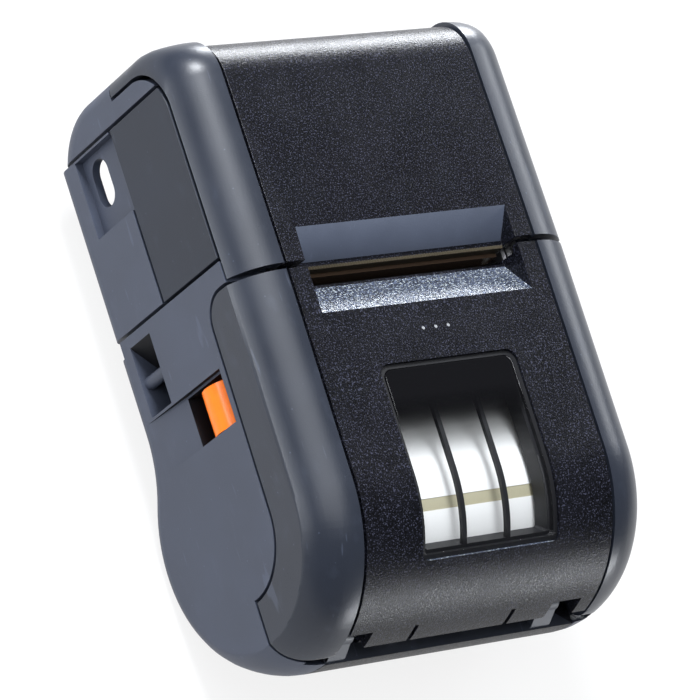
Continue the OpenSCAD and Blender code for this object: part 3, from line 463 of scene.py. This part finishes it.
def true_round(piece):
    """Gives the outer faces round the roll end a true cylinder's normals, so that they reflect evenly."""
    mesh = piece.data
    around = Y + Z
    normals = [corner.vector.copy() for corner in mesh.corner_normals]
    for face in mesh.polygons:
        outward = (face.center - ROLL_CENTRE) * around
        if outward.length > COVER_OUTSIDE and face.normal.dot(outward.normalized()) > SAME_SPOKE:
            for corner in face.loop_indices:
                spoke = mesh.vertices[mesh.loops[corner].vertex_index].co - ROLL_CENTRE
                normals[corner] = (spoke * around).normalized()
    mesh.normals_split_custom_set(normals)


def refinish(piece, material, test):
    """Gives the faces of a piece that pass a test a finish of their own."""
    piece.data.materials.append(material)
    with editing(piece) as mesh:
        pick(mesh.faces, test)
        piece.active_material_index = len(piece.data.materials) - 1
        bpy.ops.object.material_slot_assign()


def facing(way):
    """A test that faces pass if they look along a direction."""
    return lambda face: face.normal.dot(way) > SAME_WAY


def within(point, ranges):
    """Whether a point is inside a range along Y and another along Z."""
    return all(low < part < high for part, (low, high) in zip(point.yz, ranges))


def face_out(piece, way):
    """Turns an open sheet's faces over if they look away from a direction."""
    leaning = sum(face.normal.dot(way) * face.area for face in piece.data.polygons)
    if leaning < 0:
        with editing(piece):
            bpy.ops.mesh.select_all(action="SELECT")
            bpy.ops.mesh.flip_normals()


def thicken(piece, thickness):
    """Gives a sheet its wall, which grows inwards."""
    only(piece)
    wall = piece.modifiers.new("Wall", "SOLIDIFY")
    wall.thickness = thickness
    wall.offset = -1
    bpy.ops.object.modifier_apply(modifier=wall.name)


def ring_piece(name, inner, outer, width, edge, steps, turn=FULL_TURN, start=0):
    """A band round the roll's axis, spun from its section; start and turn are in degrees."""
    bpy.ops.object.select_all(action="DESELECT")
    middle = ROLL_CENTRE + Z * ((inner + outer) / 2)
    bpy.ops.mesh.primitive_plane_add(size=1, location=middle, rotation=(math.pi / 2, 0, 0))
    band = named(bpy.context.object, name)
    band.scale = (width, outer - inner, 1)
    settle(band)
    with editing(band, "VERT"):
        bpy.ops.mesh.select_all(action="SELECT")
        bpy.ops.mesh.bevel(offset=edge, segments=3, affect="VERTICES")
        bpy.ops.mesh.select_all(action="SELECT")
        if start:
            bpy.ops.transform.rotate(value=math.radians(start), orient_axis="X",
                                     orient_type="GLOBAL", center_override=ROLL_CENTRE)
        if turn >= FULL_TURN:
            bpy.ops.mesh.delete(type="ONLY_FACE")
            bpy.ops.mesh.select_all(action="SELECT")
        bpy.ops.mesh.spin(steps=steps, angle=math.radians(turn), center=ROLL_CENTRE, axis=X)
        bpy.ops.mesh.select_all(action="SELECT")
        bpy.ops.mesh.remove_doubles(threshold=BAND_MERGE)
        bpy.ops.mesh.normals_make_consistent(inside=False)
    only(band)
    bpy.ops.object.shade_smooth_by_angle(angle=CREASE)
    return band


# Sizes and colours that a user would change

def colour_property(name, description, default):
    return bpy.props.FloatVectorProperty(
        name=name, description=description, default=default, subtype="COLOR", min=0, max=1)


class PrinterSizes(bpy.types.PropertyGroup):
    """Sizes of the finished pieces."""

    edge: bpy.props.FloatProperty(
        name="Soft edge", description="Width of the rounding on moulded edges",
        default=0.00015, unit="LENGTH", subtype="DISTANCE")
    window_turn: bpy.props.FloatProperty(
        name="Window turn", description="How far the window bends round the roll end, in degrees",
        default=34.0)
    label_step: bpy.props.FloatProperty(
        name="Label thickness", description="Height of the labels above their liner",
        default=0.00012, unit="LENGTH", subtype="DISTANCE")
    label_gap: bpy.props.FloatProperty(
        name="Label gap", description="Bare liner between two labels, in degrees round the roll",
        default=6.4)
    label_end: bpy.props.FloatProperty(
        name="Label end", description="Where the outer labels start, in degrees from the top of the roll",
        default=-11.6)
    grain: bpy.props.FloatProperty(
        name="Case grain", description="Width of one grain of the textured plastic",
        default=0.00045, unit="LENGTH", subtype="DISTANCE")


class PrinterColours(bpy.types.PropertyGroup):
    """Colours of the finishes."""

    dark: colour_property("Dark case", "Textured dark plastic", (0.0034, 0.0036, 0.0055))
    grey: colour_property("Grey case", "Smooth blue-grey plastic", (0.0195, 0.0235, 0.0345))
    flank: colour_property("Grey flanks", "Paler blue-grey plastic of the flanks", (0.041, 0.0485, 0.072))
    lever: colour_property("Release lever", "Orange of the lever", (0.90, 0.17, 0.002))
    paper: colour_property("Labels", "Face of the labels", (0.86, 0.86, 0.84))
    liner: colour_property("Liner", "Backing paper between labels", (0.42, 0.39, 0.27))
    core: colour_property("Core", "Board of the roll's core", (0.42, 0.30, 0.18))
    light: colour_property("Light pipes", "Pale plastic of the status lights", (0.35, 0.36, 0.38))
    steel: colour_property("Steel", "Bright metal pieces", (0.62, 0.62, 0.63))
    sink: colour_property("Heat sink", "Duller metal behind the print head", (0.55, 0.56, 0.58))
    brown: colour_property("Tear bar", "Browned steel", (0.10, 0.085, 0.06))
    gold: colour_property("Contacts", "Gold of the contacts and the pinion", (0.83, 0.6, 0.25))
    gear: colour_property("Gears", "Pale plastic of the gears and bushes", (0.78, 0.77, 0.72))
    glaze: colour_property("Print head", "Dark glaze of the heating line", (0.07, 0.045, 0.03))
    board: colour_property("Circuit board", "Green solder mask", (0.02, 0.11, 0.05))


# Operators

class PRINTER_OT_dark_shells(bpy.types.Operator):
    """Textured dark shells: upper front, cover, lower body, battery pack, window frame"""

    bl_idname = "printer.dark_shells"
    bl_label = "Dark shells"

    def execute(self, context):
        sizes, colours = context.scene.printer_sizes, context.scene.printer_colours
        case = textured_plastic("Textured dark plastic", colours.dark, sizes.grain,
                                depth=0.00007, rough=0.32, shine=0.18)
        under = textured_plastic("Textured lower plastic", colours.dark, sizes.grain,
                                 depth=0.00008, rough=0.5, painted_glint=0.3, shine=0.25)
        # The lip's grey is painted 2.6 times lighter, with strong painted glints, as a painted highlight on
        # its coarse grain.
        lip = textured_plastic("Coarse lip plastic with painted highlight", shade(colours.grey, 2.6), sizes.grain * 1.2,
                               depth=0.00026, rough=0.26, painted_glint=0.7, shine=1.0)
        slope = satin_plastic("Smooth mouth plastic", shade(colours.grey, 2.5), rough=0.36, marked=0.2)
        knuckle = satin_plastic("Grey hinge plastic", shade(colours.grey, 1.3), rough=0.4)
        upper = softened("top_cover", case, sizes.edge)
        refinish(upper, slope, facing(UPPER_SLOPE))
        front = softened("cover_panel", case, sizes.edge)
        true_round(front)
        refinish(front, lip, facing(LIP_SLOPE))
        lower = softened("base_shell", under, sizes.edge)
        refinish(lower, knuckle, self.on_knuckle)
        softened("battery_pack", case, sizes.edge)
        softened("window_frame", plain_plastic("Dark inner plastic", colours.dark, rough=0.5))
        return {"FINISHED"}

    def on_knuckle(self, face):
        """Whether a face of the lower body is on its hinge barrels."""
        middle = face.calc_center_median()
        return middle.y < KNUCKLE_FRONT and middle.z > KNUCKLE_FOOT


class PRINTER_OT_grey_shells(bpy.types.Operator):
    """Smooth grey shells: rails, flanks, side panels, cheeks, end cap, battery catch, with painted shade in
    the lever's recess and the strap hollow
    """

    bl_idname = "printer.grey_shells"
    bl_label = "Grey shells"

    def execute(self, context):
        sizes, colours = context.scene.printer_sizes, context.scene.printer_colours
        rails = satin_plastic("Grey rail plastic", colours.grey, rough=0.25, shine=0.36)
        panels = satin_plastic("Grey side panel plastic", shade(colours.grey, 0.92),
                               rough=0.42, marked=0.7, shine=0.26)
        flanks = satin_plastic("Grey flank plastic", colours.flank, rough=0.42, marked=0.35, shine=0.35)
        # The walls of the lever's recess and of the strap hollow are painted dark as painted shade.
        recess_painted_shade = plain_plastic("Recess plastic with painted shade", colours.dark, rough=0.55, shine=0.25)
        for node in ("left_rail", "right_rail", "cover_left_rail", "cover_right_rail"):
            softened(node, rails, sizes.edge)
        for node in ("left_side_panel", "right_side_panel"):
            softened(node, panels, sizes.edge)
        for node in ("right_side_cover", "left_cheek", "right_cheek", "end_cap", "battery_latch"):
            softened(node, flanks, sizes.edge)
        flank = softened("left_side_cover", flanks, sizes.edge)
        refinish(flank, recess_painted_shade, self.in_recess)
        return {"FINISHED"}

    def in_recess(self, face):
        """Whether a face of the left flank is a wall of the lever's recess or of the strap hollow, the
        walls that get painted shade.
        """
        middle = face.calc_center_median()
        if middle.x < FLANK_FACE:
            return False
        # The floor of the lever's recess faces sideways and keeps the finish of the flank.
        beside_lever = abs(face.normal.x) < 0.5 and within(middle, LEVER_RECESS)
        off_bar = (middle - STRAP_BAR).xy.length > STRAP_BAR_REACH
        return beside_lever or (off_bar and within(middle, STRAP_HOLLOW))


class PRINTER_OT_window(bpy.types.Operator):
    """Clear window in the cover, curved round the roll end"""

    bl_idname = "printer.window"
    bl_label = "Window"

    def execute(self, context):
        sizes = context.scene.printer_sizes
        low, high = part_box("window_lens")
        # The flat part of the sheet starts as a plane that touches the roll end.
        slope = Euler((COVER_TILT, 0, 0)).to_matrix()
        bottom = ROLL_CENTRE + slope @ (SHEET_RADIUS * Z)
        rise = (high.y - bottom.y) / math.cos(COVER_TILT)
        middle = bottom + slope @ (Y * rise / 2)
        bpy.ops.object.select_all(action="DESELECT")
        bpy.ops.mesh.primitive_plane_add(size=1, location=middle, rotation=(COVER_TILT, 0, 0))
        sheet = named(bpy.context.object, "Window_sheet")
        sheet.scale = (high.x - low.x, rise, 1)
        settle(sheet)
        with editing(sheet, "VERT") as mesh:
            pick(mesh.verts, lambda point: point.co.y > middle.y)
            bpy.ops.mesh.bevel(offset=SHEET_UPPER_CORNER, segments=6, affect="VERTICES")
            bend_line = bottom.y + SHEET_MERGE
            pick(mesh.edges, lambda side: all(point.co.y < bend_line for point in side.verts))
            bpy.ops.mesh.spin(steps=14, angle=-math.radians(sizes.window_turn), center=ROLL_CENTRE, axis=X)
            bpy.ops.mesh.select_all(action="SELECT")
            bpy.ops.mesh.remove_doubles(threshold=SHEET_MERGE)
        with editing(sheet, "VERT") as mesh:
            foot = min(point.co.z for point in mesh.verts) + SHEET_MERGE
            pick(mesh.verts, lambda point: point.co.z < foot)
            bpy.ops.mesh.bevel(offset=SHEET_LOWER_CORNER, segments=5, affect="VERTICES")
            bpy.ops.mesh.select_all(action="SELECT")
            bpy.ops.mesh.normals_make_consistent(inside=False)
        face_out(sheet, Z)
        thicken(sheet, SHEET_WALL)
        soften(sheet, SHEET_EDGE)
        # The sheet is darkened towards its upper end by painted shade.
        place(sheet, "window_lens", clear_plastic(
            "Clear window plastic with painted shade", (0.99, 0.992, 0.995), high.y - PAINTED_SHADE_FULL, high.y - PAINTED_SHADE_GONE))
        return {"FINISHED"}


class PRINTER_OT_label_roll(bpy.types.Operator):
    """Roll of labels on its core, with the bare gap between two labels"""

    bl_idname = "printer.label_roll"
    bl_label = "Label roll"

    def execute(self, context):
        sizes, colours = context.scene.printer_sizes, context.scene.printer_colours
        core_low, core_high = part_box("label_core")
        core_radius = (core_high.z - core_low.z) / 2
        liner_radius = ROLL_RADIUS - sizes.label_step
        width = ROLL_HIGH.x - ROLL_LOW.x
        liner = ring_piece("Label_liner", core_radius, liner_radius, width, LINER_EDGE, steps=180)
        place(liner, "label_roll", rolled_paper("Rolled liner", colours.liner, colours.paper))
        labels = ring_piece("Outer_label", liner_radius, ROLL_RADIUS, width - 2 * LABEL_MARGIN, LABEL_EDGE,
                            steps=170, turn=FULL_TURN - sizes.label_gap, start=sizes.label_end)
        place(labels, "label_roll", coated_paper("Label paper", colours.paper))
        softened("label_core", coated_paper("Core board", colours.core), CORE_EDGE)
        return {"FINISHED"}


class PRINTER_OT_controls(bpy.types.Operator):
    """Release lever, buttons, lights, flap and sockets"""

    bl_idname = "printer.controls"
    bl_label = "Controls"

    def execute(self, context):
        colours = context.scene.printer_colours
        orange = plain_plastic("Orange lever plastic", colours.lever, rough=0.2, shine=0.25)
        softened("release_lever", orange, LEVER_EDGE)
        dark = soft_rubber("Dark button rubber", colours.dark)
        for node in ("power_button", "feed_button", "port_flap"):
            softened(node, dark)
        paint("status_lights", plain_plastic("Light pipe plastic", colours.light, rough=0.2))
        paint("usb_socket", brushed_metal("Socket steel", colours.steel, rough=0.3, stretch=(1, 1, 1)))
        paint("power_socket", plain_plastic("Socket plastic", colours.dark, rough=0.4))
        return {"FINISHED"}


class PRINTER_OT_inside(bpy.types.Operator):
    """Pieces inside the printer: print head, rollers, gears, frame and board"""

    bl_idname = "printer.inside"
    bl_label = "Inside"

    def execute(self, context):
        colours = context.scene.printer_colours
        steel = brushed_metal("Bright steel", colours.steel, rough=0.28)
        pale = plain_plastic("Pale gear plastic", colours.gear, rough=0.4)
        gold = brushed_metal("Contact gold", colours.gold, rough=0.25, stretch=(1, 0.1, 1))
        for node in ("main_frame", "drive_motor", "idler_pin", "platen_shaft", "latch_hook",
                     "hinge_pin", "back_screws", "head_springs"):
            paint(node, steel)
        for node in ("idler_gear", "platen_gear", "platen_bushes"):
            paint(node, pale)
        for node in ("motor_pinion", "battery_contacts"):
            paint(node, gold)
        paint("tear_bar", brushed_metal("Browned steel", colours.brown, rough=0.4))
        paint("head_heatsink", brushed_metal("Heat sink metal", colours.sink, rough=0.4))
        paint("print_head", plain_plastic("Head glaze", colours.glaze, rough=0.2))
        paint("main_board", circuit_green("Circuit board", colours.board))
        softened("platen_roller", soft_rubber("Platen rubber", colours.dark))
        return {"FINISHED"}


class PRINTER_OT_studio(bpy.types.Operator):
    """Pale floor, soft light and the camera"""

    bl_idname = "printer.studio"
    bl_label = "Studio"

    def execute(self, context):
        scene = context.scene
        scene.view_settings.view_transform = "Standard"
        self.camera(scene)
        self.floor()
        self.world(scene)
        for lamp in LAMPS:
            self.lamp(scene, *lamp)
        return {"FINISHED"}

    def camera(self, scene):
        data = bpy.data.cameras.new("Camera")
        data.sensor_width = 36
        data.lens = CAMERA_LENS
        data.clip_start, data.clip_end = 0.05, 20
        camera = bpy.data.objects.new("Camera", data)
        camera.location = CAMERA_PLACE
        camera.rotation_euler = Euler([math.radians(angle) for angle in CAMERA_TURN])
        scene.collection.objects.link(camera)
        scene.camera = camera

    def floor(self):
        """A pale floor that keeps the shadow, and is nearly white where it is seen directly or mirrored."""
        bpy.ops.object.select_all(action="DESELECT")
        bpy.ops.mesh.primitive_plane_add(size=FLOOR_SIZE, location=(0, 0, -FLOOR_DROP))
        floor = named(bpy.context.object, "Studio_floor")
        look = Shader("Pale floor")
        seen = look.node("ShaderNodeLightPath", output="Is Camera Ray")
        for ray in ("Is Glossy Ray", "Is Transmission Ray"):
            seen = seen + look.node("ShaderNodeLightPath", output=ray)
        seen = look.node("ShaderNodeMath", {"operation": "MINIMUM"}, {0: seen, 1: 1.0})
        cloth = look.node("ShaderNodeBsdfPrincipled", None, {
            "Base Color": (FLOOR_GREY, FLOOR_GREY, FLOOR_GREY, 1), "Roughness": 0.8})
        white = look.node("ShaderNodeEmission", None, {"Color": (1, 1, 1, 1), "Strength": 1.0})
        mixed = look.node("ShaderNodeMixShader", None, {0: seen * FLOOR_WHITENESS, 1: cloth, 2: white})
        floor.data.materials.append(look.end(mixed))

    def world(self, scene):
        scene.world = scene.world or bpy.data.worlds.new("World")
        scene.world.use_nodes = True
        background = scene.world.node_tree.nodes["Background"]
        background.inputs["Color"].default_value = WORLD_COLOUR
        background.inputs["Strength"].default_value = WORLD_STRENGTH

    def lamp(self, scene, name, spot, size, power):
        data = bpy.data.lights.new(name, "AREA")
        data.color = LAMP_COLOUR
        data.shape = "RECTANGLE"
        data.size, data.size_y = size
        data.energy = power
        lamp = bpy.data.objects.new(name, data)
        lamp.location = spot
        lamp.rotation_euler = (LAMP_AIM - Vector(spot)).to_track_quat("-Z", "Y").to_euler()
        scene.collection.objects.link(lamp)


class PRINTER_PT_panel(bpy.types.Panel):
    """Sizes, colours and pieces of the printer"""

    bl_label = "Printer"
    bl_idname = "PRINTER_PT_panel"
    bl_space_type = "VIEW_3D"
    bl_region_type = "UI"
    bl_category = "Printer"

    def draw(self, context):
        for group in (context.scene.printer_sizes, context.scene.printer_colours):
            box = self.layout.box()
            for name in group.__annotations__:
                box.prop(group, name)
        for step in STEPS:
            self.layout.operator(step.bl_idname)


STEPS = (PRINTER_OT_dark_shells, PRINTER_OT_grey_shells, PRINTER_OT_window, PRINTER_OT_label_roll,
         PRINTER_OT_controls, PRINTER_OT_inside, PRINTER_OT_studio)
CLASSES = (PrinterSizes, PrinterColours, *STEPS, PRINTER_PT_panel)


def register():
    for cls in CLASSES:
        bpy.utils.register_class(cls)
    bpy.types.Scene.printer_sizes = bpy.props.PointerProperty(type=PrinterSizes)
    bpy.types.Scene.printer_colours = bpy.props.PointerProperty(type=PrinterColours)


def unregister():
    del bpy.types.Scene.printer_colours
    del bpy.types.Scene.printer_sizes
    for cls in reversed(CLASSES):
        bpy.utils.unregister_class(cls)


def main():
    register()
    for step in STEPS:
        group, name = step.bl_idname.split(".")
        getattr(getattr(bpy.ops, group), name)()


if __name__ == "__main__":
    main()
